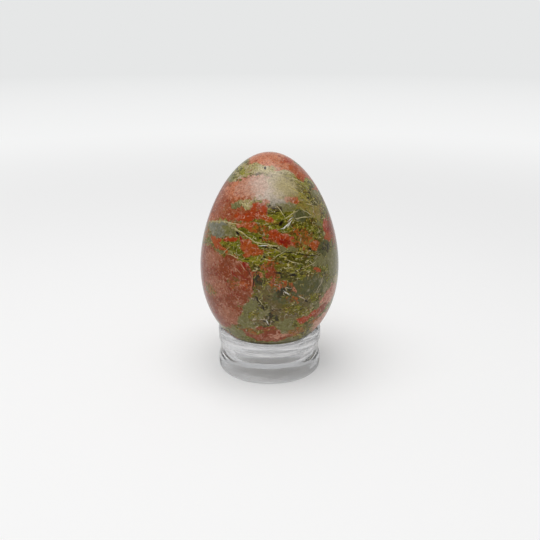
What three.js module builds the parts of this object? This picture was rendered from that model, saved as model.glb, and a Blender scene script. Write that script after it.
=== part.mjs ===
// A solid polished stone egg standing, pointed end up, in the dished mouth of a short clear ring.
// Millimetres, +Z up, origin at the centre of the ring's underside.

import * as THREE from "three";

// The stone egg
const EGG_LENGTH = 48.2;
const EGG_WIDTH = 33.4; // across its widest place, which is nearer the low end
const EGG_TAPER = 0.158; // share by which the low end is fuller, and the pointed end slimmer, than an ellipse

// The ring stand, which is the same both ways up
const RING_DIAMETER = 25.4;
const RING_HEIGHT = 10;
const RIM_WIDTH = 1.08; // from the outer wall to the mouth of the dished seat
const DISH_RADIUS = 13.5; // of the ball that the dished seat of each face would fit
const HOLE_DIAMETER = 16.4; // the straight hole that joins the two dishes
const GROOVE_DEPTH = 0.45; // how far the outer wall is drawn in at half height
const GROOVE_WIDTH = 5; // height of the drawn-in band
const EDGE_RADIUS = 0.45; // the outer edges, top and bottom

// The fit of one in the other
const SEAT_GAP = 0.2; // left all round between the egg and the edge that it rests on

// Fineness of the curves
const AROUND = 64; // flats round both pieces
const EGG_RINGS = 34;
const GROOVE_STEPS = 6;
const EDGE_STEPS = 3;
const DISH_STEPS = 8;
const LEAST_WALL = 0.05; // a straight hole shorter than twice this is left out

// The egg's surface at an angle from its low pole, as the radius there and the height over that pole.
// A sine makes the round body, and the taper moves its fullness down. Dividing by the largest value of
// that product keeps the width true for any taper.
function fullness(angle) {
  return Math.sin(angle) * (1 + EGG_TAPER * Math.cos(angle));
}

const widestCosine = (2 * EGG_TAPER) / (1 + Math.sqrt(1 + 8 * EGG_TAPER ** 2));
const widestFullness = fullness(Math.acos(widestCosine));

function eggPoint(angle) {
  const radius = ((EGG_WIDTH / 2) * fullness(angle)) / widestFullness;
  const height = (EGG_LENGTH * (1 - Math.cos(angle))) / 2;
  return new THREE.Vector2(radius, height);
}

// Points of an arc about a centre, from one angle to another, both ends included.
function arc(centre, radius, from, to, steps) {
  const points = [];
  for (let i = 0; i <= steps; i++) {
    const angle = from + ((to - from) * i) / steps;
    const across = centre.x + radius * Math.cos(angle);
    const up = centre.y + radius * Math.sin(angle);
    points.push(new THREE.Vector2(across, up));
  }
  return points;
}

// The upper half of the ring's section, as heights over the middle plane, from the bottom of the
// outer groove, over the rim and down the dish to the middle of the hole. The ball that fits the
// dish has its centre on the axis. Dishes too deep for the hole meet in a crest at half height.
const halfHeight = RING_HEIGHT / 2;
const outerRadius = RING_DIAMETER / 2;
const mouthRadius = outerRadius - RIM_WIDTH;
const ballHeight = halfHeight + Math.sqrt(DISH_RADIUS ** 2 - mouthRadius ** 2);
const crestRadius = Math.sqrt(Math.max(0, DISH_RADIUS ** 2 - ballHeight ** 2));
const innerRadius = Math.max(HOLE_DIAMETER / 2, crestRadius);

function outerGroove() {
  const halfWidth = GROOVE_WIDTH / 2;
  const radius = (halfWidth ** 2 + GROOVE_DEPTH ** 2) / (2 * GROOVE_DEPTH);
  const centre = new THREE.Vector2(outerRadius - GROOVE_DEPTH + radius, 0);
  const halfSpan = Math.asin(halfWidth / radius);
  return arc(centre, radius, Math.PI, Math.PI - halfSpan, GROOVE_STEPS);
}

function outerEdge() {
  const centre = new THREE.Vector2(outerRadius - EDGE_RADIUS, halfHeight - EDGE_RADIUS);
  return arc(centre, EDGE_RADIUS, 0, Math.PI / 2, EDGE_STEPS);
}

function dish() {
  const centre = new THREE.Vector2(0, ballHeight);
  const mouth = -Math.acos(mouthRadius / DISH_RADIUS);
  const end = -Math.acos(innerRadius / DISH_RADIUS);
  return arc(centre, DISH_RADIUS, mouth, end, DISH_STEPS);
}

function upperHalf() {
  const half = [...outerGroove(), ...outerEdge(), ...dish()];
  if (half.at(-1).y > LEAST_WALL) half.push(new THREE.Vector2(innerRadius, 0));
  else half.at(-1).y = 0;
  return half;
}

// A closed loop: the lower half mirrored, from the hole round to the groove, then the upper half.
function ringSection() {
  const upper = upperHalf();
  const inner = upper.slice(1, -1);
  const lower = inner.map((p) => new THREE.Vector2(p.x, -p.y)).reverse();
  const loop = [upper.at(-1), ...lower, ...upper];
  return loop.map((p) => new THREE.Vector2(p.x, p.y + halfHeight));
}

// The height of the ring's top side at a distance from the axis: the dish, then the flat rim.
// Over the hole there is nothing to rest on.
function seatHeight(radius) {
  if (radius >= mouthRadius) return RING_HEIGHT;
  if (radius < innerRadius) return -Infinity;
  return halfHeight + ballHeight - Math.sqrt(DISH_RADIUS ** 2 - radius ** 2);
}

// The egg comes down until its surface, grown by the gap, first meets the seat or its edge.
function restingHeight() {
  const samples = 4000;
  let rest = -Infinity;
  for (let i = 1; i < samples / 2; i++) {
    const angle = (Math.PI * i) / samples;
    const here = eggPoint(angle);
    const next = eggPoint(angle + Math.PI / samples);
    const along = next.sub(here).normalize();
    const outX = here.x + SEAT_GAP * along.y;
    const outY = here.y - SEAT_GAP * along.x;
    if (outX < outerRadius) rest = Math.max(rest, seatHeight(outX) - outY);
  }
  return rest;
}

// A profile in (radius, height) turned about +Z.
function turned(profile) {
  return new THREE.LatheGeometry(profile, AROUND).rotateX(Math.PI / 2);
}

function ringStand() {
  const clearPlastic = new THREE.MeshStandardMaterial({
    color: 0xe8eceb,
    roughness: 0.06,
    metalness: 0,
    transparent: true,
    opacity: 0.35,
  });
  const mesh = new THREE.Mesh(turned(ringSection()), clearPlastic);
  mesh.name = "ring_stand";
  return mesh;
}

function stoneEgg() {
  const profile = [];
  for (let i = 0; i <= EGG_RINGS; i++) {
    profile.push(eggPoint((Math.PI * i) / EGG_RINGS));
  }
  profile[0].x = 0;
  profile[EGG_RINGS].x = 0;
  const polishedStone = new THREE.MeshStandardMaterial({
    color: 0x96705a,
    roughness: 0.15,
    metalness: 0,
  });
  const mesh = new THREE.Mesh(turned(profile), polishedStone);
  mesh.name = "stone_egg";
  return mesh;
}

const eggOnStand = new THREE.Group();
const egg = stoneEgg();
egg.position.z = restingHeight();
eggOnStand.add(ringStand(), egg);

export default eggOnStand;
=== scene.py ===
"""A polished stone egg standing in a short clear ring: the looks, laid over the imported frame.

The file is laid out as an add-on and run as a script. Sizes are in metres unless a name says
otherwise, +Z is up, and the origin is at the centre of the ring's underside.
"""

import math
from collections import namedtuple

import bmesh
import bpy
from bpy.props import FloatProperty, FloatVectorProperty, IntProperty, PointerProperty
from mathutils import Matrix, Vector


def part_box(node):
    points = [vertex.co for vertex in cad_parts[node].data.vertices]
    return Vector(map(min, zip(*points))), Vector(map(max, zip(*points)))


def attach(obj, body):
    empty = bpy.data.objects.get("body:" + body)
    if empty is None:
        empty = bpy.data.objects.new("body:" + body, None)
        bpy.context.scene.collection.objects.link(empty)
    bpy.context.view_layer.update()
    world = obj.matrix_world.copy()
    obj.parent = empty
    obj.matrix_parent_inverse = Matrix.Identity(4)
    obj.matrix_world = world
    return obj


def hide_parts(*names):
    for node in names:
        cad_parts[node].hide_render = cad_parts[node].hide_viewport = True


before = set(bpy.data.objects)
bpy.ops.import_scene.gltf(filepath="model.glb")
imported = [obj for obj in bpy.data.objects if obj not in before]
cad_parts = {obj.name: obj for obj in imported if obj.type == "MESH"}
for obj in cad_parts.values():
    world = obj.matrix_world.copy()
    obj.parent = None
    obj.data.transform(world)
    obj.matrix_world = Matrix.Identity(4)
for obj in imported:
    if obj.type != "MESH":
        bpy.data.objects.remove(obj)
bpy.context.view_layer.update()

bl_info = {
    "name": "Stone Egg on Ring Stand",
    "version": (1, 0, 0),
    "blender": (4, 5, 0),
    "location": "View3D > Sidebar > Stone Egg",
    "description": "Builds a polished stone egg on a clear ring stand, with its stage",
    "category": "Object",
}

MM = 0.001

MERGE_DISTANCE = 1e-7  # a spun outline's ends and poles are joined within it

# Faces along each curve of the ring's section
GROOVE_FACES = 16
EDGE_FACES = 8
DISH_FACES = 32

RING_CREASE = math.radians(25)  # edges sharper than this are shaded as edges

# What the frame says of the two pieces
RING_LOW, RING_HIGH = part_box("ring_stand")
EGG_LOW, EGG_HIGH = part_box("stone_egg")


# Colours are written as they look on a screen, and shaders want them linear.
def linear(hex_colour):
    channels = [int(hex_colour[i : i + 2], 16) / 255 for i in (1, 3, 5)]
    return tuple(c / 12.92 if c <= 0.04045 else ((c + 0.055) / 1.055) ** 2.4 for c in channels)


# Sizes that a user would change


class EggSizes(bpy.types.PropertyGroup):
    length: FloatProperty(
        name="Length",
        description="From the low end to the tip",
        default=EGG_HIGH.z - EGG_LOW.z,
        unit="LENGTH",
    )
    width: FloatProperty(
        name="Width",
        description="Across the widest place",
        default=EGG_HIGH.x - EGG_LOW.x,
        unit="LENGTH",
    )
    low_end: FloatProperty(
        name="Low end",
        description="Height of the low end over the surface that the ring stands on",
        default=EGG_LOW.z,
        unit="LENGTH",
    )
    taper: FloatProperty(
        name="Taper",
        description="Share by which the low end is fuller, and the tip slimmer, than an ellipse",
        default=0.158,
        subtype="FACTOR",
    )
    rings: IntProperty(name="Rings", description="Rows of faces from end to end", default=112)
    around: IntProperty(name="Around", description="Faces round the axis", default=224)


class RingSizes(bpy.types.PropertyGroup):
    diameter: FloatProperty(
        name="Diameter",
        description="Across the outer wall",
        default=RING_HIGH.x - RING_LOW.x,
        unit="LENGTH",
    )
    height: FloatProperty(
        name="Height",
        description="From rim to rim",
        default=RING_HIGH.z - RING_LOW.z,
        unit="LENGTH",
    )
    rim_width: FloatProperty(
        name="Rim width",
        description="From the outer wall to where the dished seat begins",
        default=1.08 * MM,
        unit="LENGTH",
    )
    dish_radius: FloatProperty(
        name="Dish radius",
        description="Radius of the ball that the dished seat would fit",
        default=13.5 * MM,
        unit="LENGTH",
    )
    hole_diameter: FloatProperty(
        name="Hole diameter",
        description="Across the straight hole between the two dishes",
        default=16.4 * MM,
        unit="LENGTH",
    )
    groove_depth: FloatProperty(
        name="Waist depth",
        description="How far the outer wall is drawn in at half height",
        default=0.45 * MM,
        unit="LENGTH",
    )
    groove_width: FloatProperty(
        name="Waist height",
        description="Height of the drawn-in band",
        default=5 * MM,
        unit="LENGTH",
    )
    edge_radius: FloatProperty(
        name="Edge radius",
        description="Rounding of the outer edges",
        default=0.45 * MM,
        unit="LENGTH",
    )
    around: IntProperty(name="Around", description="Faces round the axis", default=288)


class StageLook(bpy.types.PropertyGroup):
    backdrop: FloatVectorProperty(
        name="Backdrop",
        description="Pale grey of the backdrop",
        default=linear("#E6E7E7"),
        subtype="COLOR",
        size=3,
    )
    floor: FloatVectorProperty(
        name="Floor",
        description="Pale grey of the floor",
        default=linear("#FBFBFB"),
        subtype="COLOR",
        size=3,
    )


# Helpers


def add_node(tree, kind, inputs=None, **settings):
    """Adds a node with its settings. Each input, by name or number, gets a value or a link."""
    node = tree.nodes.new(kind)
    for name, value in settings.items():
        setattr(node, name, value)
    for key, value in (inputs or {}).items():
        if isinstance(value, bpy.types.NodeSocket):
            tree.links.new(value, node.inputs[key])
        else:
            node.inputs[key].default_value = value
    return node


def new_material(name):
    """A named material holding only a Principled shader, with its tree and that shader."""
    material = bpy.data.materials.new(name)
    material.use_nodes = True
    shader = next(n for n in material.node_tree.nodes if n.type == "BSDF_PRINCIPLED")
    return material, material.node_tree, shader


def arc(across, up, radius, start, end, steps):
    """Points (across, up) along an arc about a centre, both ends included."""
    turns = [start + (end - start) * i / steps for i in range(steps + 1)]
    return [(across + radius * math.cos(t), up + radius * math.sin(t)) for t in turns]


def spun_piece(name, outline, closed, around, material):
    """A new object: an outline of (radius, height) points spun once about +Z."""
    bm = bmesh.new()
    verts = [bm.verts.new((radius, 0, height)) for radius, height in outline]
    edges = [bm.edges.new(pair) for pair in zip(verts, verts[1:])]
    if closed:
        edges.append(bm.edges.new((verts[-1], verts[0])))
    bmesh.ops.spin(
        bm,
        geom=verts + edges,
        cent=(0, 0, 0),
        axis=(0, 0, 1),
        angle=2 * math.pi,
        steps=around,
        use_merge=True,
    )
    bmesh.ops.remove_doubles(bm, verts=bm.verts, dist=MERGE_DISTANCE)
    bmesh.ops.recalc_face_normals(bm, faces=bm.faces)
    for face in bm.faces:
        face.smooth = True
    mesh = bpy.data.meshes.new(name)
    bm.to_mesh(mesh)
    bm.free()
    mesh.materials.append(material)
    piece = bpy.data.objects.new(name, mesh)
    bpy.context.collection.objects.link(piece)
    return piece


# The egg's outline


def egg_outline_point(sizes, turn):
    """(radius, height) at a turn from the low end, 0, to the tip, pi."""
    taper = sizes.taper
    widest_cosine = 2 * taper / (1 + math.sqrt(1 + 8 * taper**2))
    widest = math.sin(math.acos(widest_cosine)) * (1 + taper * widest_cosine)
    fullness = math.sin(turn) * (1 + taper * math.cos(turn)) / widest
    height = sizes.low_end + sizes.length * (1 - math.cos(turn)) / 2
    return sizes.width / 2 * fullness, height


def egg_place(sizes, azimuth, height):
    """The point of the egg's surface at an azimuth and a height, and the axes of its skin there.

    Azimuth is in degrees, 0 at the front, positive to the viewer's right. The matrix takes X to
    the right along the skin, -Y out of the stone and Z up along the skin.
    """
    share = (height - sizes.low_end) / sizes.length
    turn = math.acos(max(-1.0, min(1.0, 1 - 2 * share)))
    step = 0.01
    before = egg_outline_point(sizes, turn - step)
    after = egg_outline_point(sizes, turn + step)
    lean = math.atan2(before[0] - after[0], after[1] - before[1])
    radius = egg_outline_point(sizes, turn)[0]
    around = Matrix.Rotation(math.radians(azimuth), 3, "Z")
    place = around @ Vector((0, -radius, height))
    return place, around @ Matrix.Rotation(-lean, 3, "X")


# The stone's minerals

MINERALS = {
    # feldspar
    "salmon": "#BC7654",
    "pale_rose": "#BE8A72",
    "pink": "#9C6246",
    "clay": "#96502E",
    "rose": "#824020",
    "ember": "#A44E1A",
    "brick": "#A03C10",
    "rust": "#82380A",
    "blood": "#861C08",
    # epidote
    "pale_green": "#A89A6A",
    "lime": "#7E7A1A",
    "leaf": "#5E600A",
    "olive": "#62580E",
    "moss": "#474006",
    # quartz, and what is mixed of all three
    "sage": "#747044",
    "slate": "#545430",
    "grey": "#767564",
    "umber": "#704818",
    "khaki": "#685A34",
    "fern": "#8A823E",
    "charcoal": "#322E18",
    "tan": "#866834",
    "bone": "#B8A890",
    # the pale of the painted sheen near the top, a painted highlight and not a mineral
    "sheen_milk": "#C8BAAC",
    "straw": "#AA9A40",
    "cream": "#C2B688",
    "white": "#DAD8CE",
    "dark": "#1C1006",
}

# Azimuth in degrees and height in mm over the floor place a patch; half its size across and up
# the skin is in mm; the tilt is in degrees, clockwise as the viewer sees it. A mingled patch
# breaks up into grains all along its border.
Patch = namedtuple("Patch", "mineral azimuth height across up tilt mingled", defaults=[False])

# Grains and zones, laid one over another in this order
PATCHES = [
    # left side: the feldspar field over the grey lens
    Patch("rust", -78, 42, 5.5, 5.5, 0, True),
    Patch("clay", -52, 43.5, 7.5, 4.6, 0, True),
    Patch("salmon", -42, 46.2, 4.6, 2.6, -6, True),
    Patch("pale_rose", -20, 47.2, 5.2, 2.8, 0, True),
    Patch("clay", -33, 43.0, 3.4, 2.0, 0, True),
    # the cap
    Patch("salmon", 20, 53.0, 6.0, 5.0, 0),
    Patch("salmon", 40, 51.0, 4.0, 1.9, 6),
    Patch("ember", 66, 49.6, 3.6, 2.4, 18),
    Patch("brick", 62, 51.8, 2.2, 1.0, 14),
    Patch("ember", 82, 47.5, 4.5, 3.4, 20),
    # pale green bands below the cap
    Patch("pale_green", -30, 50.8, 4.4, 1.2, 0),
    Patch("pale_green", -62, 49.8, 3.6, 1.7, 0),
    Patch("lime", -66, 49.8, 3.2, 1.0, 0),
    Patch("olive", -62, 48.4, 1.8, 0.4, 0),
    Patch("pale_green", -6, 50.9, 2.4, 0.7, 0),
    Patch("cream", -10, 50.7, 2.0, 0.6, 0, True),
    Patch("cream", 18, 50.1, 2.6, 0.35, 4),
    Patch("cream", 36, 49.4, 2.2, 0.3, 10),
    # the right shoulder
    Patch("fern", 34, 45.6, 6.0, 4.2, 30, True),
    Patch("pale_green", 14, 48.0, 3.4, 2.6, 0, True),
    Patch("lime", 30, 48.6, 2.4, 0.9, 20, True),
    Patch("lime", 47, 45.4, 2.6, 1.0, 48),
    Patch("pale_green", 24, 46.8, 3.0, 0.9, 12),
    Patch("olive", 44, 46.6, 1.8, 1.4, 40, True),
    Patch("fern", 40, 43.4, 3.2, 1.6, 16, True),
    Patch("fern", 50, 41.4, 3.4, 2.2, 14, True),
    Patch("moss", 58, 44.2, 2.4, 1.9, 10),
    Patch("moss", 49, 45.6, 1.2, 0.7, 10),
    Patch("lime", 68, 46.6, 2.6, 1.3, 16),
    Patch("sage", 68, 44.6, 1.6, 0.8, 10),
    Patch("grey", 10, 44.3, 1.9, 0.9, 0),
    Patch("sage", 18, 43.2, 2.6, 1.2, 4),
    Patch("salmon", 24, 44.7, 1.8, 0.55, 4),
    Patch("ember", 29, 44.3, 1.4, 0.75, 20),
    # the pale green wedge and the orange-red lobes
    Patch("pale_green", -27, 43.6, 2.4, 0.9, 2),
    Patch("sage", -38, 43.2, 1.7, 0.8, 10),
    Patch("cream", -25, 43.7, 1.5, 0.55, -6, True),
    Patch("brick", -23, 41.2, 3.3, 1.1, -4),
    Patch("brick", -11, 42.8, 2.4, 1.5, 0),
    Patch("ember", -22, 39.5, 2.6, 0.7, 0),
    Patch("ember", -3, 41.2, 1.6, 0.7, 12),
    Patch("salmon", -4, 44.2, 1.2, 0.5, 10),
    Patch("moss", 6, 42.9, 1.6, 0.9, 0),
    Patch("dark", 6, 43.0, 1.2, 0.5, 0, True),
    Patch("leaf", 10, 41.2, 1.7, 0.9, 16),
    Patch("slate", 32, 41.0, 2.0, 1.2, 10),
    Patch("moss", 41, 39.6, 1.8, 0.7, 16),
    # the grey lens and what lies under it
    Patch("ember", -68, 38.6, 2.6, 1.6, 0),
    Patch("pale_green", -50, 37.8, 6.3, 1.7, -3),
    Patch("grey", -52, 37.5, 5.4, 1.45, -4),
    Patch("sage", -38, 37.6, 2.4, 1.1, 4),
    Patch("leaf", -16, 37.6, 3.4, 1.1, 18),
    Patch("umber", -12, 38.8, 1.7, 0.7, -8),
    Patch("leaf", -5, 36.8, 2.6, 1.0, 0),
    Patch("umber", -3.5, 36.8, 1.3, 0.8, 0, True),
    Patch("olive", 4, 39.4, 2.0, 0.8, -8),
    Patch("umber", -4, 38.3, 1.8, 0.9, 10, True),
    Patch("brick", 4, 38.0, 1.6, 0.8, 16),
    Patch("brick", 12, 36.7, 3.2, 1.4, 12),
    Patch("blood", 14, 36.0, 1.5, 0.5, 8),
    Patch("umber", 27, 38.0, 2.4, 1.0, 8),
    Patch("tan", 33, 36.0, 2.9, 1.6, 8, True),
    Patch("umber", 26, 35.4, 1.0, 0.8, 0),
    Patch("ember", 42, 34.5, 1.5, 1.1, 10),
    Patch("leaf", 48, 37.2, 1.8, 1.4, 0),
    Patch("brick", 64, 37.2, 2.4, 1.8, 0),
    Patch("blood", 66, 37.0, 1.2, 1.0, 0),
    Patch("ember", 62, 35.0, 2.6, 0.9, 8),
    Patch("rose", 76, 35.6, 2.6, 4.0, 0, True),
    # the big feldspar lobe on the left
    Patch("tan", -76, 35.0, 2.8, 1.7, -6, True),
    Patch("ember", -44, 34.6, 4.6, 1.2, 10),
    Patch("rose", -56, 28.0, 9.0, 5.4, 8),
    Patch("pink", -58, 30.2, 4.4, 2.0, -22, True),
    Patch("rose", -38, 22.5, 6.4, 6.6, 0),
    Patch("pink", -46, 24.6, 3.4, 2.4, 0, True),
    Patch("rust", -74, 26.0, 3.2, 6.0, 0, True),
    Patch("rose", -58, 17.5, 6.6, 4.0, 18),
    Patch("tan", -57, 22.8, 2.3, 1.2, -16, True),
    Patch("rose", -22, 24.0, 2.7, 3.4, 12),
    Patch("rust", -32, 28.6, 4.4, 2.4, 16, True),
    Patch("rust", -22, 27.8, 3.4, 3.0, 10, True),
    Patch("rose", -30, 31.0, 3.0, 1.9, 14),
    Patch("rust", -19, 28.0, 2.2, 2.8, 16),
    Patch("ember", -22, 26.4, 1.6, 0.8, 20, True),
    Patch("umber", -30, 26.7, 1.4, 1.0, 0, True),
    Patch("pale_rose", -23, 31.2, 1.6, 0.45, 35, True),
    Patch("blood", -18, 30.7, 1.3, 0.8, 40),
    Patch("dark", -18, 30.5, 0.8, 0.5, 40, True),
    Patch("pink", -36, 17.6, 3.4, 2.6, 20, True),
    # the triangle and the greens about it
    Patch("brick", -36, 35.8, 2.6, 0.55, -8),
    Patch("leaf", -31, 34.2, 2.9, 1.1, 12),
    Patch("lime", -40, 34.9, 1.6, 0.5, 20),
    Patch("ember", -19, 35.3, 1.5, 1.3, 30),
    Patch("ember", -13, 34.4, 2.2, 1.1, 18),
    Patch("ember", -18, 33.5, 1.3, 0.7, 0),
    Patch("blood", -23.5, 36.2, 0.35, 0.8, -12),
    Patch("lime", -14, 32.2, 3.4, 0.45, 0),
    Patch("lime", 2, 34.2, 2.2, 0.8, 6),
    Patch("leaf", 16, 33.2, 4.2, 1.0, 6),
    Patch("lime", 28, 32.6, 3.0, 0.7, 8),
    Patch("moss", 20, 31.8, 5.0, 1.2, 8, True),
    Patch("leaf", 30, 30.6, 4.6, 1.7, 8),
    Patch("sage", 46, 30.6, 3.0, 1.5, 14, True),
    Patch("slate", 52, 33.4, 2.6, 1.8, -6),
    Patch("charcoal", 54, 33.4, 2.0, 0.9, -6, True),
    Patch("moss", 16, 31.4, 2.4, 1.0, 6, True),
    Patch("sage", 64, 30.4, 3.4, 2.4, 8, True),
    Patch("sage", 62, 27.6, 3.2, 1.6, 10, True),
    # the middle
    Patch("khaki", 6, 20.6, 8.6, 4.4, -4, True),
    Patch("olive", 18, 21.0, 2.4, 1.2, 0, True),
    Patch("sage", -12, 20.4, 3.4, 2.8, -8, True),
    Patch("slate", 14, 24.6, 5.0, 2.6, 6, True),
    Patch("lime", -7, 32.2, 1.6, 0.6, 0),
    Patch("moss", -9, 30.8, 1.4, 0.6, 0),
    Patch("dark", -9, 28.2, 0.8, 1.3, 0, True),
    Patch("charcoal", -8.5, 27.6, 1.1, 1.4, 0),
    Patch("umber", 2, 30.4, 1.9, 2.2, 0, True),
    Patch("rust", 1, 29.4, 1.0, 1.7, 0, True),
    Patch("umber", 8, 27.1, 2.8, 1.2, 4, True),
    Patch("ember", 9, 26.8, 1.5, 0.5, 0, True),
    Patch("olive", 12, 30.6, 2.4, 0.9, 0),
    Patch("moss", 15, 28.4, 2.8, 1.2, 0, True),
    Patch("moss", 21, 28.6, 1.2, 1.6, 20),
    Patch("olive", 31, 28.2, 2.4, 1.2, 10),
    Patch("ember", 40, 28.8, 1.2, 0.4, 24),
    Patch("khaki", -4, 25.2, 2.4, 1.4, 0, True),
    Patch("charcoal", 10, 24.9, 2.0, 1.3, 0),
    Patch("moss", 13, 24.2, 0.9, 0.7, 0),
    Patch("salmon", 19, 25.2, 1.1, 0.35, 38),
    Patch("umber", 19, 23.2, 1.6, 0.9, 10, True),
    Patch("slate", 29, 25.2, 2.2, 1.7, 10, True),
    Patch("slate", 39, 25.6, 4.6, 2.4, 12, True),
    Patch("sage", 52, 24.2, 2.0, 1.4, 12, True),
    Patch("charcoal", 2, 18.6, 1.5, 1.4, 0),
    Patch("charcoal", -6, 21.0, 0.9, 1.1, -30, True),
    Patch("olive", 28, 19.8, 1.9, 1.4, 0, True),
    # the pale feldspar at the lower right
    Patch("pale_rose", 60, 21.2, 4.4, 2.4, -8, True),
    Patch("pale_green", 72, 23.6, 2.2, 1.2, 0, True),
    Patch("rose", 50, 18.2, 2.6, 1.4, -20),
    Patch("brick", 30, 17.2, 1.8, 1.2, 0),
    Patch("brick", 39, 18.2, 1.9, 0.8, -18),
    Patch("tan", 46, 15.2, 2.0, 1.4, 0),
    Patch("slate", 43, 15.0, 1.2, 0.6, 0),
    Patch("pale_rose", 62, 14.0, 4.0, 3.0, 0, True),
    # the foot
    Patch("sage", -19, 17.2, 2.8, 2.0, -24),
    Patch("olive", -14, 19.2, 1.6, 0.9, 0, True),
    Patch("khaki", -8, 17.4, 2.0, 1.0, 0, True),
    Patch("moss", -5, 21.8, 0.8, 1.4, -28, True),
    Patch("sage", 13, 17.1, 1.8, 1.0, 0, True),
    Patch("sage", 16, 18.0, 1.2, 0.6, 0),
    Patch("rose", 0, 13.0, 7.4, 2.2, 0),
    Patch("pale_rose", 10, 13.2, 2.2, 0.9, 0, True),
    Patch("tan", -14, 14.4, 2.4, 1.2, 0),
    Patch("rose", -4, 15.6, 2.4, 0.6, 0),
    Patch("olive", -8, 14.4, 1.3, 0.7, 0),
    Patch("sage", 16, 14.4, 1.8, 1.1, 0),
    Patch("tan", 26, 13.6, 2.4, 1.2, 0),
    Patch("sage", -34, 12.6, 2.6, 1.2, -30),
    Patch("rose", -60, 10.0, 4.0, 2.0, 0),
]

# Thin veins and cracks, laid over the patches
VEINS = [
    Patch("cream", -40, 39.4, 3.4, 0.10, -3),
    Patch("cream", -26, 38.0, 1.6, 0.10, 24),
    Patch("cream", -18, 36.9, 1.7, 0.09, 26),
    Patch("cream", -8, 36.0, 2.0, 0.09, 8),
    Patch("cream", 1, 35.6, 1.4, 0.10, 12),
    Patch("dark", -29, 37.7, 0.7, 0.32, 34),
    Patch("dark", -3, 35.2, 1.4, 0.16, 4),
    Patch("white", -5, 35.5, 1.1, 0.10, 2),
    Patch("dark", 5, 34.9, 1.0, 0.18, 18),
    Patch("dark", 16, 33.9, 1.8, 0.13, 10),
    Patch("dark", 26, 33.2, 1.2, 0.16, 14),
    Patch("dark", 36, 32.5, 1.8, 0.18, 12),
    Patch("dark", -4, 33.1, 0.5, 0.22, 0),
    Patch("cream", -1, 32.6, 1.2, 0.10, 10),
    # Thin white strands along a crack: partly the crack's own white, and partly a painted glint
    # where it catches the light
    Patch("white", 13, 39.2, 0.9, 0.10, -20),
    Patch("white", 16, 39.6, 1.1, 0.10, -40),
    Patch("white", 19, 39.9, 1.1, 0.10, -44),
    Patch("white", 20, 40.7, 0.8, 0.09, -30),
    Patch("cream", 33, 40.7, 2.4, 0.10, 4),
    Patch("dark", 11, 40.1, 0.8, 0.42, -36),
    Patch("cream", 11, 42.6, 1.9, 0.09, 62),
    Patch("cream", 21, 41.6, 2.2, 0.09, -24),
    Patch("dark", 4, 42.0, 1.5, 0.12, 4),
    Patch("cream", 42, 48.2, 2.4, 0.11, 30),
    Patch("cream", 28, 47.2, 1.8, 0.09, 34),
    Patch("straw", 36, 46.0, 2.2, 0.10, 38),
    Patch("cream", 40, 41.6, 1.9, 0.10, 38),
    Patch("cream", 48, 43.0, 1.4, 0.09, 20),
    Patch("dark", -12.5, 27.2, 0.16, 1.7, 4),
    Patch("dark", -9, 23.4, 0.28, 1.1, -30),
    Patch("dark", -5, 21.4, 0.26, 1.0, -24),
    Patch("cream", -7, 22.8, 0.10, 0.8, -30),
    Patch("white", 13, 24.9, 1.0, 0.08, 44),
    Patch("bone", 26, 23.2, 1.2, 0.12, 30),
    Patch("dark", 30, 22.2, 0.6, 0.2, 20),
    Patch("dark", 19, 28.9, 1.0, 0.3, 0),
    Patch("dark", 7, 29.6, 1.1, 0.22, 12),
    Patch("white", -2, 17.4, 0.12, 0.8, -20),
    Patch("cream", -30, 32.6, 2.0, 0.08, 8),
    Patch("cream", 8, 33.6, 2.2, 0.07, -28),
    Patch("cream", 20, 31.6, 2.0, 0.07, 22),
    Patch("straw", 27, 34.2, 1.6, 0.08, -34),
    Patch("cream", 35, 30.6, 1.8, 0.07, -16),
    Patch("straw", 44, 44.2, 2.0, 0.08, 46),
    Patch("cream", -38, 33.6, 1.4, 0.07, -44),
    Patch("bone", 42, 24.8, 2.0, 0.08, -52),
    Patch("bone", 50, 23.2, 1.8, 0.07, -48),
    Patch("bone", 46, 26.4, 1.4, 0.07, -60),
    # short fibres in the lobe
    Patch("pale_rose", -21, 30.6, 1.2, 0.12, 44),
    Patch("pale_rose", -25, 29.6, 1.0, 0.10, 36),
    Patch("blood", -24, 30.2, 1.2, 0.16, 36),
    Patch("blood", -20, 28.3, 1.3, 0.18, 24),
    Patch("blood", -28, 28.6, 1.4, 0.2, 40),
    Patch("umber", -26, 27.6, 1.0, 0.3, 20),
    Patch("dark", -15, 29.2, 0.9, 0.10, 60),
    Patch("salmon", -13.5, 27.4, 0.12, 1.8, 6),
]

# Pale clouds near the top that fade out evenly into what they lie on, and let some of it through.
# They are a painted highlight: the soft sheen of the softbox overhead, tinted by the stone under
# it.
SHEEN_CLOUDS = [
    Patch("pale_rose", -14, 46.6, 4.6, 2.4, 0),
    Patch("sheen_milk", 5, 47.6, 5.0, 4.6, 0),
    Patch("sheen_milk", 0, 45.6, 3.0, 1.6, -8),
    Patch("pale_green", 19, 47.4, 3.8, 2.8, 14),
]

# How far past its half sizes a mark fades out, as a share of them
PATCH_SOFTNESS = 0.1
# The clouds of painted sheen fade out the furthest
SHEEN_SOFTNESS = 0.5
VEIN_SOFTNESS = 0.35
# Share of its pale that the painted sheen lays over the stone
SHEEN_STRENGTH = 0.8


def bent(tree, place, spacing, reach, detail):
    """Moves a place by a noise of a spacing, by up to about the reach, all in mm."""
    noise = add_node(
        tree,
        "ShaderNodeTexNoise",
        {"Vector": place, "Scale": 1 / spacing, "Detail": detail},
    )
    # A colour split and put together again as a vector stays in the order of the chain
    parts = add_node(tree, "ShaderNodeSeparateColor", {0: noise.outputs["Color"]}).outputs
    shift = add_node(tree, "ShaderNodeCombineXYZ", {0: parts[0], 1: parts[1], 2: parts[2]})
    centred = add_node(
        tree,
        "ShaderNodeVectorMath",
        {0: shift.outputs[0], 1: (0.5, 0.5, 0.5)},
        operation="SUBTRACT",
    )
    return add_node(
        tree,
        "ShaderNodeVectorMath",
        {0: centred.outputs[0], 1: (2 * reach,) * 3, 2: place},
        operation="MULTIPLY_ADD",
    ).outputs[0]


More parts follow.
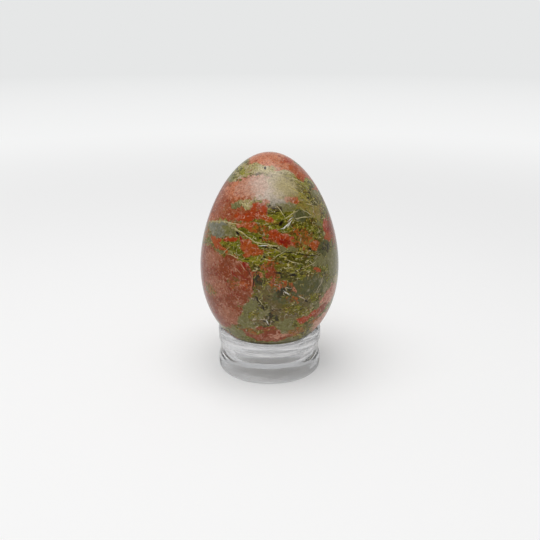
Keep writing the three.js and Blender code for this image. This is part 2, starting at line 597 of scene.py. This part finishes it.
def stone_places(tree):
    """Three vectors in mm for the stone's marks to lie on.

    One is nearly true, for veins. One is broken into grains, for patches. One scatters the
    grains, for patches that mingle with their surroundings.
    """
    place = add_node(tree, "ShaderNodeTexCoord").outputs["Object"]
    true = add_node(
        tree, "ShaderNodeVectorMath", {0: place, "Scale": 1 / MM}, operation="SCALE"
    ).outputs[0]
    fine = bent(tree, true, 1.4, 0.4, 3)
    rough = bent(tree, bent(tree, true, 3.6, 1.0, 1), 0.9, 0.55, 3)
    grains = add_node(tree, "ShaderNodeTexVoronoi", {"Vector": rough, "Scale": 1 / 0.8})
    grainy = add_node(
        tree,
        "ShaderNodeMix",
        {0: 0.45, 4: rough, 5: grains.outputs["Position"]},
        data_type="VECTOR",
    )
    return fine, grainy.outputs[1], bent(tree, grainy.outputs[1], 0.8, 2.4, 2)


def mineral_colour(mineral):
    return (*linear(MINERALS[mineral]), 1)


def stain(tree, under, pattern, none_at, full_at, mineral, zone=None, strength=1.0):
    """Lays a mineral over the colour so far where a pattern's value passes between two levels.

    The steps are smooth ones, here and below, which end level by themselves. A clamp would run
    after the whole tree, and so many values can't wait for it.
    """
    share = add_node(
        tree,
        "ShaderNodeMapRange",
        {"Value": pattern, "From Min": none_at, "From Max": full_at, "To Max": strength},
        interpolation_type="SMOOTHSTEP",
        clamp=False,
    ).outputs[0]
    if zone is not None:
        share = add_node(
            tree, "ShaderNodeMath", {0: share, 1: zone}, operation="MULTIPLY"
        ).outputs[0]
    return add_node(
        tree,
        "ShaderNodeMix",
        {0: share, 6: under, 7: mineral_colour(mineral)},
        data_type="RGBA",
    ).outputs[2]


def lay_patch(tree, sizes, under, where, patch, softness, strength=1.0):
    """Lays one patch, an ellipsoid of a mineral, over the colour so far.

    The ball gradient falls from 1 at its centre to 0 at its skin. Its own mapping places, turns
    and stretches it, because a Mapping node for each patch makes the shader too large to run.
    """
    place, axes = egg_place(sizes, patch.azimuth, patch.height * MM)
    tilted = axes @ Matrix.Rotation(math.radians(patch.tilt), 3, "Y")
    depth = (patch.across + patch.up) / 2
    ball = add_node(
        tree, "ShaderNodeTexGradient", {"Vector": where}, gradient_type="SPHERICAL"
    )
    ball.texture_mapping.vector_type = "TEXTURE"
    ball.texture_mapping.translation = place / MM
    ball.texture_mapping.rotation = tilted.to_euler("XYZ")
    ball.texture_mapping.scale = Vector((patch.across, depth, patch.up)) * (1 + softness)
    return stain(
        tree, under, ball.outputs["Fac"], 0, 2 * softness, patch.mineral, strength=strength
    )


def three_patterns(tree, place, spacing, detail, roughness=0.6):
    """Three noises of a spacing in mm, each about 0.5 and seldom beyond 0.3 to 0.7."""
    noise = add_node(
        tree,
        "ShaderNodeTexNoise",
        {"Vector": place, "Scale": 1 / spacing, "Detail": detail, "Roughness": roughness},
    )
    return add_node(tree, "ShaderNodeSeparateColor", {0: noise.outputs["Color"]}).outputs


def lay_threads(tree, under, lines, breaks, half_width, mineral, zone):
    """Lays broken threads of a mineral along the winding lines where a pattern passes its middle.

    The half width is in the pattern's own value. Another pattern breaks the threads up.
    """
    ridge = add_node(tree, "ShaderNodeMath", {0: lines, 1: 0.5}, operation="PINGPONG")
    unbroken = add_node(
        tree,
        "ShaderNodeMapRange",
        {"Value": breaks, "From Min": 0.46, "From Max": 0.54},
        interpolation_type="SMOOTHSTEP",
        clamp=False,
    )
    share = add_node(
        tree, "ShaderNodeMath", {0: unbroken.outputs[0], 1: zone}, operation="MULTIPLY"
    ).outputs[0]
    skin = 0.5 - half_width
    core = 0.5 - half_width / 3
    return stain(tree, under, ridge.outputs[0], skin, core, mineral, share)


def wide_zones(tree, grainy):
    """Green with islands of pink, in loose bands. The front is left green, for its patches."""
    banded = add_node(
        tree,
        "ShaderNodeMapping",
        {"Vector": grainy, "Rotation": (0.25, 0, 0), "Scale": (1, 1, 1.6)},
    ).outputs[0]
    kinds = three_patterns(tree, banded, 10, 2)
    shades = three_patterns(tree, banded, 5, 2)
    depth = add_node(tree, "ShaderNodeSeparateXYZ", {0: grainy}).outputs["Y"]
    back = add_node(
        tree,
        "ShaderNodeMapRange",
        {"Value": depth, "From Min": -3.5, "From Max": 4},
        interpolation_type="SMOOTHSTEP",
        clamp=False,
    ).outputs[0]
    level = add_node(
        tree, "ShaderNodeMath", {0: back, 1: 0.19, 2: kinds[0]}, operation="MULTIPLY_ADD"
    ).outputs[0]
    island = add_node(
        tree,
        "ShaderNodeMapRange",
        {"Value": level, "From Min": 0.69, "From Max": 0.7},
        interpolation_type="SMOOTHSTEP",
        clamp=False,
    ).outputs[0]
    green = stain(tree, mineral_colour("olive"), shades[0], 0.48, 0.5, "leaf")
    green = stain(tree, green, shades[1], 0.56, 0.57, "sage")
    green = stain(tree, green, shades[2], 0.64, 0.65, "pale_green")
    pink = stain(tree, mineral_colour("rose"), shades[0], 0.5, 0.51, "salmon")
    pink = stain(tree, pink, shades[1], 0.54, 0.55, "brick")
    pink = stain(tree, pink, shades[2], 0.58, 0.6, "tan")
    return add_node(
        tree, "ShaderNodeMix", {0: island, 6: green, 7: pink}, data_type="RGBA"
    ).outputs[2]


def mineral_zones(tree, colour):
    """Where the colour so far is pink, green, mixed of both or pale, brown, and veined.

    Brown and veined are parts of the mixed zone, which leave its grey quartz plain.
    """
    hue, saturation, value = add_node(
        tree, "ShaderNodeSeparateColor", {0: colour}, mode="HSV"
    ).outputs
    pink, past_brown, yellowish, strong, lit = [
        add_node(
            tree,
            "ShaderNodeMapRange",
            {"Value": part, "From Min": none_at, "From Max": full_at},
            interpolation_type="SMOOTHSTEP",
            clamp=False,
        ).outputs[0]
        for part, none_at, full_at in (
            (hue, 0.055, 0.045),
            (hue, 0.09, 0.1),
            (hue, 0.15, 0.144),
            (saturation, 0.78, 0.88),
            (value, 0.02, 0.05),
        )
    ]
    rich = add_node(tree, "ShaderNodeMath", {0: strong, 1: lit}, operation="MULTIPLY").outputs[0]
    green = add_node(
        tree, "ShaderNodeMath", {0: past_brown, 1: rich}, operation="MULTIPLY"
    ).outputs[0]
    either = add_node(tree, "ShaderNodeMath", {0: pink, 1: green}, operation="MAXIMUM").outputs[0]
    mixed = add_node(tree, "ShaderNodeMath", {0: 1, 1: either}, operation="SUBTRACT").outputs[0]
    brown = add_node(tree, "ShaderNodeMath", {0: mixed, 1: rich}, operation="MULTIPLY").outputs[0]
    veined = add_node(
        tree, "ShaderNodeMath", {0: mixed, 1: yellowish}, operation="MULTIPLY"
    ).outputs[0]
    return pink, green, mixed, brown, veined


def grown_feldspar(tree, colour, zone, fine):
    """Pale and red-brown clouds, specks of both, and thin broken cracks."""
    clouds = three_patterns(tree, fine, 2.0, 5, 0.68)
    colour = stain(tree, colour, clouds[0], 0.5, 0.68, "pale_rose", zone, 0.45)
    colour = stain(tree, colour, clouds[1], 0.54, 0.68, "rust", zone, 0.6)
    colour = stain(tree, colour, clouds[2], 0.58, 0.7, "tan", zone, 0.5)
    specks = three_patterns(tree, fine, 0.5, 2)
    colour = stain(tree, colour, specks[0], 0.6, 0.7, "pale_rose", zone, 0.7)
    colour = stain(tree, colour, specks[1], 0.58, 0.68, "blood", zone, 0.6)
    colour = lay_threads(tree, colour, clouds[0], specks[2], 0.02, "rust", zone)
    threads = three_patterns(tree, fine, 1.3, 2, 0.5)
    colour = lay_threads(tree, colour, threads[0], clouds[1], 0.022, "pale_rose", zone)
    return lay_threads(tree, colour, threads[1], clouds[2], 0.02, "blood", zone)


def grown_epidote(tree, colour, zone, fine):
    """Light, dark and brown bands, dark streaks, winding pale yellow threads, and specks."""
    streaky = add_node(
        tree,
        "ShaderNodeMapping",
        {"Vector": fine, "Rotation": (0, 0.3, 0), "Scale": (0.5, 1, 1.2)},
    ).outputs[0]
    bands = three_patterns(tree, streaky, 1.8, 5, 0.68)
    colour = stain(tree, colour, bands[0], 0.5, 0.57, "moss", zone, 0.9)
    colour = stain(tree, colour, bands[1], 0.51, 0.6, "lime", zone, 0.8)
    colour = stain(tree, colour, bands[2], 0.55, 0.62, "umber", zone, 0.65)
    streaks = three_patterns(tree, streaky, 0.8, 4, 0.7)
    colour = stain(tree, colour, streaks[0], 0.56, 0.62, "dark", zone, 0.9)
    threads = three_patterns(tree, streaky, 1.3, 2, 0.5)
    colour = lay_threads(tree, colour, threads[0], streaks[2], 0.024, "straw", zone)
    colour = lay_threads(tree, colour, threads[1], streaks[1], 0.02, "cream", zone)
    specks = three_patterns(tree, fine, 0.45, 1)
    colour = stain(tree, colour, specks[0], 0.63, 0.7, "pale_green", zone, 0.5)
    return stain(tree, colour, specks[1], 0.61, 0.68, "dark", zone, 0.6)


def grown_mixture(tree, colour, zone, brown, veined, fine):
    """Faint clouds all over, grains of all colours in the brown, and threads in the veined."""
    clouds = three_patterns(tree, fine, 1.3, 5, 0.7)
    colour = stain(tree, colour, clouds[0], 0.5, 0.62, "olive", zone, 0.45)
    colour = stain(tree, colour, clouds[1], 0.53, 0.64, "bone", zone, 0.3)
    colour = stain(tree, colour, clouds[2], 0.55, 0.62, "moss", zone, 0.4)
    colour = stain(tree, colour, clouds[2], 0.45, 0.38, "umber", veined, 0.6)
    threads = three_patterns(tree, fine, 2.2, 1, 0.5)
    colour = lay_threads(tree, colour, threads[0], clouds[0], 0.02, "bone", veined)
    colour = lay_threads(tree, colour, threads[1], clouds[1], 0.016, "dark", veined)
    colour = lay_threads(tree, colour, threads[2], clouds[2], 0.03, "fern", veined)
    grains = three_patterns(tree, fine, 0.7, 3)
    colour = stain(tree, colour, grains[0], 0.47, 0.54, "ember", brown, 0.85)
    colour = stain(tree, colour, grains[1], 0.52, 0.6, "moss", brown, 0.8)
    colour = stain(tree, colour, grains[2], 0.56, 0.64, "lime", brown, 0.6)
    return stain(tree, colour, grains[0], 0.36, 0.3, "dark", zone, 0.5)


def polished_unakite(sizes):
    """Unakite, a granite of pink feldspar, green epidote and grey quartz, ground and polished.

    The eye gets patches with grainy borders, winding pale threads, thin cracks, and a soft sheen
    from above. The sheen comes partly from the gloss and partly from a painted highlight: pale
    clouds laid into the colour near the top.
    """
    material, tree, shader = new_material("polished_unakite")
    fine, grainy, mingled = stone_places(tree)
    colour = wide_zones(tree, grainy)
    for patch in PATCHES:
        where = mingled if patch.mingled else grainy
        colour = lay_patch(tree, sizes, colour, where, patch, PATCH_SOFTNESS)
    pink, green, mixed, brown, veined = mineral_zones(tree, colour)
    colour = grown_feldspar(tree, colour, pink, fine)
    colour = grown_epidote(tree, colour, green, fine)
    colour = grown_mixture(tree, colour, mixed, brown, veined, fine)
    # Painted highlight: the softbox's soft sheen near the top, laid into the colour as pale clouds
    for sheen_cloud in SHEEN_CLOUDS:
        colour = lay_patch(
            tree, sizes, colour, mingled, sheen_cloud, SHEEN_SOFTNESS, SHEEN_STRENGTH
        )
    for vein in VEINS:
        colour = lay_patch(tree, sizes, colour, fine, vein, VEIN_SOFTNESS)
    # The sugary grain of the cut stone is about 0.1 mm across, and is drawn coarser to show
    sugar = add_node(
        tree, "ShaderNodeTexNoise", {"Vector": fine, "Scale": 1 / 0.35, "Detail": 2}
    )
    level = add_node(
        tree,
        "ShaderNodeMapRange",
        {
            "Value": sugar.outputs["Fac"],
            "From Min": 0.3,
            "From Max": 0.7,
            "To Min": 0.76,
            "To Max": 1.24,
        },
    )
    mottled = add_node(
        tree,
        "ShaderNodeMix",
        {0: 1.0, 6: colour, 7: level.outputs[0]},
        data_type="RGBA",
        blend_type="MULTIPLY",
    )
    tree.links.new(mottled.outputs[2], shader.inputs["Base Color"])
    shader.inputs["Roughness"].default_value = 0.22
    shader.inputs["IOR"].default_value = 1.55
    shader.inputs["Specular IOR Level"].default_value = 0.2
    return material


def clear_acrylic():
    """Acrylic, moulded and clear: bright lines where it bends the light, in a faint grey body.

    Shallow ripples from the mould make the lines waver, and fine scuffs dull them in places.
    """
    material, tree, shader = new_material("clear_acrylic")
    place = add_node(tree, "ShaderNodeTexCoord").outputs["Object"]
    lying = add_node(
        tree,
        "ShaderNodeVectorMath",
        {0: place, 1: (0.16 / MM, 0.16 / MM, 0.7 / MM)},
        operation="MULTIPLY",
    ).outputs[0]
    ripples = add_node(tree, "ShaderNodeTexNoise", {"Vector": lying, "Scale": 1, "Detail": 2})
    relief = add_node(
        tree,
        "ShaderNodeBump",
        {"Height": ripples.outputs["Fac"], "Strength": 1, "Distance": 0.09 * MM},
    )
    tree.links.new(relief.outputs[0], shader.inputs["Normal"])
    scuffs = add_node(tree, "ShaderNodeTexNoise", {"Vector": lying, "Scale": 4, "Detail": 3})
    dulled = add_node(
        tree,
        "ShaderNodeMapRange",
        {
            "Value": scuffs.outputs["Fac"],
            "From Min": 0.5,
            "From Max": 0.7,
            "To Min": 0.05,
            "To Max": 0.22,
        },
    )
    tree.links.new(dulled.outputs[0], shader.inputs["Roughness"])
    shader.inputs["Base Color"].default_value = (*linear("#E0E0E1"), 1)
    shader.inputs["IOR"].default_value = 1.49
    shader.inputs["Transmission Weight"].default_value = 1
    return material


def ring_outline(sizes):
    """The ring's closed section as (radius, height) points, the lower half mirroring the upper."""
    half = sizes.height / 2
    outer = sizes.diameter / 2
    mouth = outer - sizes.rim_width
    half_groove = sizes.groove_width / 2
    groove_radius = (half_groove**2 + sizes.groove_depth**2) / (2 * sizes.groove_depth)
    groove_turn = math.asin(half_groove / groove_radius)
    waist = outer - sizes.groove_depth
    groove = arc(
        waist + groove_radius, 0, groove_radius, math.pi, math.pi - groove_turn, GROOVE_FACES
    )
    rounding = sizes.edge_radius
    edge = arc(outer - rounding, half - rounding, rounding, 0, math.pi / 2, EDGE_FACES)
    dish_height = half + math.sqrt(sizes.dish_radius**2 - mouth**2)
    crest = math.sqrt(max(0, sizes.dish_radius**2 - dish_height**2))
    inner = max(sizes.hole_diameter / 2, crest)
    dish_start = -math.acos(mouth / sizes.dish_radius)
    dish_end = -math.acos(inner / sizes.dish_radius)
    dish = arc(0, dish_height, sizes.dish_radius, dish_start, dish_end, DISH_FACES)
    upper = groove + edge + dish
    lower = [(radius, -height) for radius, height in reversed(upper[1:])]
    return [(radius, height + half) for radius, height in upper + lower]


# One operator for each piece, and one for the stage


class MakeRingStand(bpy.types.Operator):
    """Build the clear ring that the egg stands in"""

    bl_idname = "stone_egg.make_ring_stand"
    bl_label = "Ring Stand"

    def execute(self, context):
        sizes = context.scene.ring_sizes
        piece = spun_piece(
            "clear_ring", ring_outline(sizes), True, sizes.around, clear_acrylic()
        )
        piece.data.set_sharp_from_angle(angle=RING_CREASE)
        # Most of the light passes through a clear ring, so it casts no shadow of its own
        piece.visible_shadow = False
        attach(piece, "stand")
        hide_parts("ring_stand")
        return {"FINISHED"}


class MakeStoneEgg(bpy.types.Operator):
    """Build the polished stone egg"""

    bl_idname = "stone_egg.make_stone_egg"
    bl_label = "Stone Egg"

    def execute(self, context):
        sizes = context.scene.egg_sizes
        outline = [
            egg_outline_point(sizes, math.pi * i / sizes.rings) for i in range(sizes.rings + 1)
        ]
        piece = spun_piece(
            "polished_egg", outline, False, sizes.around, polished_unakite(sizes)
        )
        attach(piece, "egg")
        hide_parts("stone_egg")
        return {"FINISHED"}


CAMERA_DISTANCE = 180.2 * MM  # from the centre of the ring's underside
CAMERA_ELEVATION = math.radians(27.08)
CAMERA_PITCH = math.radians(19.75)  # below level
CAMERA_ACROSS = 0.12 * MM
CAMERA_SENSOR = 36.0
CAMERA_LENS = 46.67

SOFTBOX_SIZE = 0.42
SOFTBOX_POWER = 1.5
SOFTBOX_PLACE = Vector((-0.05, -0.05, 0.45))
SOFTBOX_AIM = Vector((0, 0, 0.02))

FLOOR_RADIUS = 2.0


def make_camera(scene):
    """The camera at the photograph's viewing angle."""
    camera = bpy.data.cameras.new("camera")
    camera.sensor_width = CAMERA_SENSOR
    camera.lens = CAMERA_LENS
    camera.clip_start = 1 * MM
    holder = bpy.data.objects.new("camera", camera)
    holder.location = (
        CAMERA_ACROSS,
        -CAMERA_DISTANCE * math.cos(CAMERA_ELEVATION),
        CAMERA_DISTANCE * math.sin(CAMERA_ELEVATION),
    )
    holder.rotation_euler = (math.pi / 2 - CAMERA_PITCH, 0, 0)
    scene.collection.objects.link(holder)
    scene.camera = holder


def make_softbox(scene):
    """A large square softbox overhead, a little to the left."""
    light = bpy.data.lights.new("softbox", "AREA")
    light.shape = "SQUARE"
    light.size = SOFTBOX_SIZE
    light.energy = SOFTBOX_POWER
    holder = bpy.data.objects.new("softbox", light)
    holder.location = SOFTBOX_PLACE
    aim = SOFTBOX_AIM - SOFTBOX_PLACE
    holder.rotation_euler = aim.to_track_quat("-Z", "Y").to_euler()
    scene.collection.objects.link(holder)


def seen_directly(path):
    """1 for rays of the camera and through clear plastic, else 0."""
    return add_node(
        path.id_data,
        "ShaderNodeMath",
        {0: path.outputs["Is Camera Ray"], 1: path.outputs["Is Transmission Ray"]},
        operation="MAXIMUM",
    ).outputs[0]


def make_world(scene, look):
    """Even light from all round, and a pale backdrop that is dimmer on the camera's side.

    Mirror reflections see the backdrop fade towards the dim side, and the camera and clear
    plastic see it pale everywhere.
    """
    world = bpy.data.worlds.new("studio")
    scene.world = world
    world.use_nodes = True
    tree = world.node_tree
    background = next(n for n in tree.nodes if n.type == "BACKGROUND")
    path = add_node(tree, "ShaderNodeLightPath")
    heading = add_node(
        tree,
        "ShaderNodeSeparateXYZ",
        {0: add_node(tree, "ShaderNodeTexCoord").outputs["Generated"]},
    )
    away = add_node(
        tree,
        "ShaderNodeMapRange",
        {"Value": heading.outputs["Y"], "From Min": -0.3, "From Max": 0.6},
        interpolation_type="SMOOTHSTEP",
    )
    reflected = add_node(
        tree,
        "ShaderNodeMix",
        {0: away.outputs[0], 6: (*linear("#6A6A6A"), 1), 7: (*look.backdrop, 1)},
        data_type="RGBA",
    )
    unseen = add_node(
        tree,
        "ShaderNodeMix",
        {0: path.outputs["Is Glossy Ray"], 6: (*linear("#A6A6A6"), 1), 7: reflected.outputs[2]},
        data_type="RGBA",
    )
    colour = add_node(
        tree,
        "ShaderNodeMix",
        {0: seen_directly(path), 6: unseen.outputs[2], 7: (*look.backdrop, 1)},
        data_type="RGBA",
    )
    tree.links.new(colour.outputs[2], background.inputs["Color"])
    background.inputs["Strength"].default_value = 1


def make_floor(scene, look):
    """A round floor that fades into the backdrop's colour away from the object."""
    material, tree, shader = new_material("matt_card")
    shader.inputs["Base Color"].default_value = (*look.floor, 1)
    shader.inputs["Roughness"].default_value = 0.9
    shader.inputs["Specular IOR Level"].default_value = 0.1
    place = add_node(tree, "ShaderNodeTexCoord").outputs["Object"]
    away = add_node(tree, "ShaderNodeVectorMath", {0: place}, operation="LENGTH")
    unlit = add_node(
        tree,
        "ShaderNodeMapRange",
        {"Value": away.outputs["Value"], "From Min": 0.1, "From Max": 0.4, "To Min": 0.2},
        interpolation_type="SMOOTHSTEP",
    )
    share = add_node(
        tree,
        "ShaderNodeMath",
        {0: unlit.outputs[0], 1: seen_directly(add_node(tree, "ShaderNodeLightPath"))},
        operation="MULTIPLY",
    )
    far = add_node(
        tree,
        "ShaderNodeMapRange",
        {"Value": away.outputs["Value"], "From Min": 0.05, "From Max": 1.0},
    )
    colour = add_node(
        tree,
        "ShaderNodeMix",
        {0: far.outputs[0], 6: (*look.floor, 1), 7: (*look.backdrop, 1)},
        data_type="RGBA",
    )
    glow = add_node(
        tree, "ShaderNodeEmission", {"Color": colour.outputs[2], "Strength": 1}
    )
    surface = add_node(
        tree,
        "ShaderNodeMixShader",
        {0: share.outputs[0], 1: shader.outputs[0], 2: glow.outputs[0]},
    )
    output = next(n for n in tree.nodes if n.type == "OUTPUT_MATERIAL")
    tree.links.new(surface.outputs[0], output.inputs["Surface"])

    bm = bmesh.new()
    bmesh.ops.create_circle(bm, cap_ends=True, segments=96, radius=FLOOR_RADIUS)
    mesh = bpy.data.meshes.new("floor")
    bm.to_mesh(mesh)
    bm.free()
    mesh.materials.append(material)
    floor = bpy.data.objects.new("floor", mesh)
    scene.collection.objects.link(floor)


class MakeStage(bpy.types.Operator):
    """Set up the camera, the light, the backdrop and the floor"""

    bl_idname = "stone_egg.make_stage"
    bl_label = "Stage"

    def execute(self, context):
        scene = context.scene
        scene.view_settings.view_transform = "Standard"
        make_camera(scene)
        make_softbox(scene)
        make_world(scene, scene.stage_look)
        make_floor(scene, scene.stage_look)
        return {"FINISHED"}


class StoneEggPanel(bpy.types.Panel):
    """Lists the sizes, the colours and the pieces"""

    bl_idname = "VIEW3D_PT_stone_egg"
    bl_label = "Stone Egg"
    bl_space_type = "VIEW_3D"
    bl_region_type = "UI"
    bl_category = "Stone Egg"

    def draw(self, context):
        column = self.layout.column()
        scene = context.scene
        for group in (scene.egg_sizes, scene.ring_sizes, scene.stage_look):
            for name in group.__annotations__:
                column.prop(group, name)
            column.separator()
        for step in STEPS:
            column.operator(step.bl_idname)


STEPS = (MakeStage, MakeRingStand, MakeStoneEgg)
CLASSES = (EggSizes, RingSizes, StageLook, *STEPS, StoneEggPanel)


def register():
    for cls in CLASSES:
        bpy.utils.register_class(cls)
    bpy.types.Scene.egg_sizes = PointerProperty(type=EggSizes)
    bpy.types.Scene.ring_sizes = PointerProperty(type=RingSizes)
    bpy.types.Scene.stage_look = PointerProperty(type=StageLook)


def unregister():
    del bpy.types.Scene.stage_look
    del bpy.types.Scene.ring_sizes
    del bpy.types.Scene.egg_sizes
    for cls in reversed(CLASSES):
        bpy.utils.unregister_class(cls)


def main():
    register()
    bpy.ops.stone_egg.make_stage()
    bpy.ops.stone_egg.make_ring_stand()
    bpy.ops.stone_egg.make_stone_egg()


if __name__ == "__main__":
    main()
